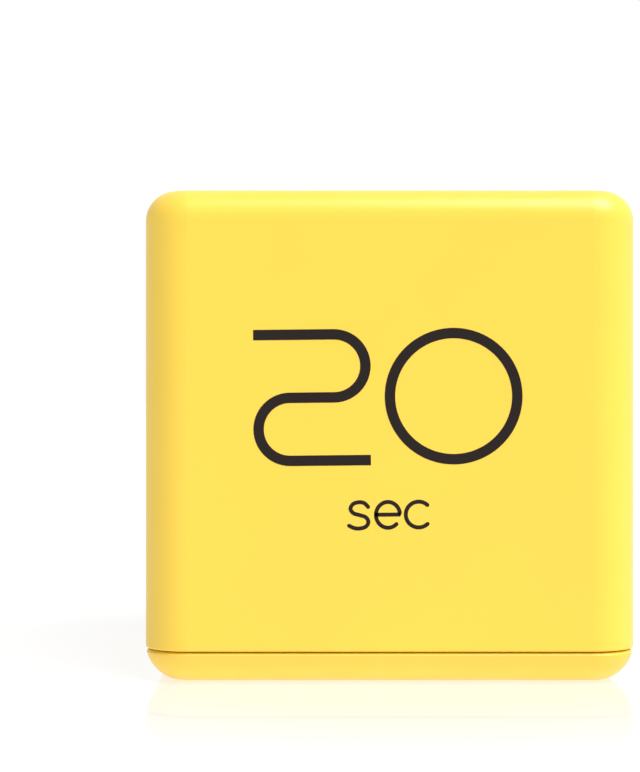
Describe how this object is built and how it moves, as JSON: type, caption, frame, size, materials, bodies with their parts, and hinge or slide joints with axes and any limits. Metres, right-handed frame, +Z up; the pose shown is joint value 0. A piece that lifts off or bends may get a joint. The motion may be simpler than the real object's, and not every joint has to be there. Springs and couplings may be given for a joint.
{
  "type": "cube timer",
  "caption": "Rounded plastic cube kitchen timer that counts down the time marked on whichever side is turned up, with a display on top and a hinged battery door, switch and buzzer underneath.",
  "frame": {"origin": "middle of the underside, on the plane that the cube rests on", "axes": "+Z up through the display in the top face, -Y out of the side marked 20 that the picture shows, +X to its right"},
  "size_m": [0.066, 0.066, 0.066],
  "materials": {
    "case_yellow": "moulded satin ABS, coloured through",
    "screw_steel": "bright zinc plated",
    "clear_window": "polished clear acrylic",
    "black_tape": "black adhesive film",
    "display_glass": "grey-green reflective display",
    "white_plastic": "plain moulded",
    "strip_rubber": "layered conductive silicone rubber",
    "board_green": "solder mask on glass laminate",
    "black_resin": "cast or moulded black resin",
    "bright_steel": "bright drawn steel",
    "blue_sleeve": "shrunk plastic sleeve",
    "black_plastic": "moulded black ABS",
    "cell_jacket": "plain jacket over a steel can",
    "nickel_strip": "nickel plated strip",
    "buzzer_brass": "bare brass sheet",
    "white_ceramic": "silvered ceramic layer",
    "brown_laminate": "paper laminate",
    "red_lead": "extruded insulation",
    "black_lead": "extruded insulation",
    "white_lead": "extruded insulation",
    "orange_lead": "extruded insulation"
  },
  "bodies": {
    "case": {"main_shell": "case_yellow", "base_cover": "case_yellow", "case_screws": "screw_steel", "board_screws": "screw_steel", "switch_screws": "screw_steel", "window_lens": "clear_window", "window_tape": "black_tape", "lcd_glass": "display_glass", "lcd_holder": "white_plastic", "zebra_strip_front": "strip_rubber", "zebra_strip_rear": "strip_rubber", "main_board": "board_green", "switch_board": "board_green", "chip_blob": "black_resin", "clock_crystal": "bright_steel", "storage_capacitor": "blue_sleeve", "buzzer_coil": "black_resin", "drive_transistor": "black_resin", "chip_resistors": "black_resin", "tilt_housing": "black_plastic", "tilt_lid": "bright_steel", "battery_rear": "cell_jacket", "battery_front": "cell_jacket", "contact_positive": "nickel_strip", "contact_negative": "nickel_strip", "contact_bridge": "nickel_strip", "spring_negative": "bright_steel", "spring_bridge": "bright_steel", "buzzer_disc": "buzzer_brass", "buzzer_ceramic": "white_ceramic", "switch_frame": "nickel_strip", "switch_insulator": "brown_laminate", "lead_battery_plus": "red_lead", "lead_battery_minus": "black_lead", "lead_switch_low": "white_lead", "lead_switch_high": "orange_lead", "lead_buzzer_brass": "black_lead", "lead_buzzer_ceramic": "red_lead"},
    "battery_door": {"battery_door": "case_yellow"},
    "sound_switch": {"switch_knob": "black_plastic", "switch_wiper": "nickel_strip"},
    "tilt_ball": {"tilt_ball": "bright_steel"}
  },
  "joints": [
    {"name": "battery_door_hinge", "type": "hinge", "parent": "case", "child": "battery_door", "pos_m": [-0.0258, 0.0083, 0.0002], "axis": [0, 1, 0], "range_deg": [0, 75]},
    {"name": "sound_switch_slide", "type": "slide", "parent": "case", "child": "sound_switch", "axis": [1, 0, 0], "range_m": [-0.002, 0.002]},
    {"name": "tilt_ball_roll", "type": "hinge", "parent": "case", "child": "tilt_ball", "pos_m": [0.002, -0.012, 0.05378], "axis": [0, 0, 1], "continuous": true}
  ]
}
